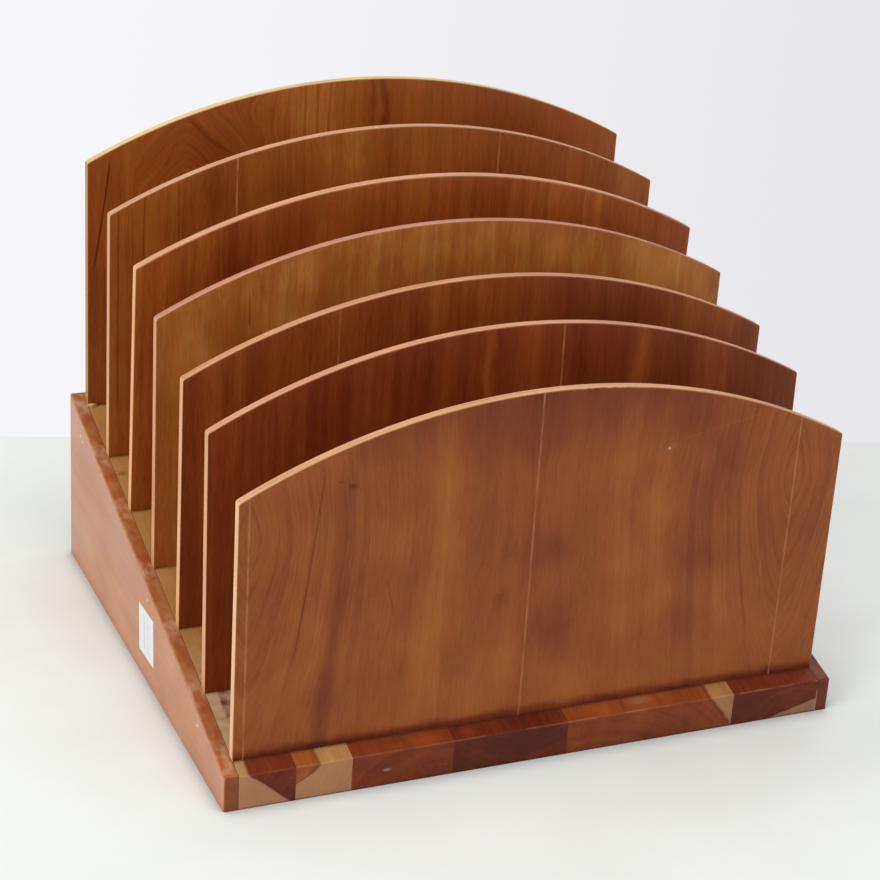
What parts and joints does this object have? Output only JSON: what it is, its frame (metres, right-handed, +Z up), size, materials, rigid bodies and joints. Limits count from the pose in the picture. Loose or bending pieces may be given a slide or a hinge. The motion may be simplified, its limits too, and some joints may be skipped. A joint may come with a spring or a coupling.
{
  "type": "envelope sorter",
  "caption": "Low sloping wooden base with upright arched dividers that rise in steps to the rear, for sorting envelopes and letters.",
  "frame": {"origin": "on the table, under the middle of the base", "axes": "+X to the right seen from the low front, +Y to the high rear, +Z up"},
  "size_m": [0.3401, 0.296, 0.2824],
  "materials": {
    "panel_core": "bare cut edge, satin varnish",
    "panel_veneer": "cherry veneer, vertical grain, satin varnish",
    "rail_wood": "cherry, satin varnish",
    "stave_mixed": "pale sapwood with dark heartwood, satin varnish",
    "stave_pale": "pale tan wood, satin varnish",
    "stave_red": "reddish brown heartwood, satin varnish",
    "stave_dark": "dark purple-brown heartwood, satin varnish",
    "stave_orange": "orange-brown streaked wood, satin varnish",
    "block_wood": "plain softwood, sawn",
    "rear_board_wood": "cherry, satin varnish",
    "brad_steel": "bright steel wire",
    "hole_filler": "pale wood filler",
    "sticker_paper": "plain white paper"
  },
  "bodies": {
    "root": {"divider_core_1": "panel_core", "divider_core_2": "panel_core", "divider_core_3": "panel_core", "divider_core_4": "panel_core", "divider_core_5": "panel_core", "divider_core_6": "panel_core", "divider_core_7": "panel_core", "front_veneer_1": "panel_veneer", "back_veneer_1": "panel_veneer", "front_veneer_2": "panel_veneer", "back_veneer_2": "panel_veneer", "front_veneer_3": "panel_veneer", "back_veneer_3": "panel_veneer", "front_veneer_4": "panel_veneer", "back_veneer_4": "panel_veneer", "front_veneer_5": "panel_veneer", "back_veneer_5": "panel_veneer", "front_veneer_6": "panel_veneer", "back_veneer_6": "panel_veneer", "front_veneer_7": "panel_veneer", "back_veneer_7": "panel_veneer", "left_side_rail": "rail_wood", "left_brads": "brad_steel", "left_brad_fillers": "hole_filler", "left_glue_block": "block_wood", "right_side_rail": "rail_wood", "right_brads": "brad_steel", "right_brad_fillers": "hole_filler", "right_glue_block": "block_wood", "floor_stave_1": "stave_mixed", "floor_stave_2": "stave_pale", "floor_stave_3": "stave_red", "floor_stave_4": "stave_dark", "floor_stave_5": "stave_orange", "floor_stave_6": "stave_dark", "rear_board": "rear_board_wood", "blank_sticker": "sticker_paper"}
  },
  "joints": []
}
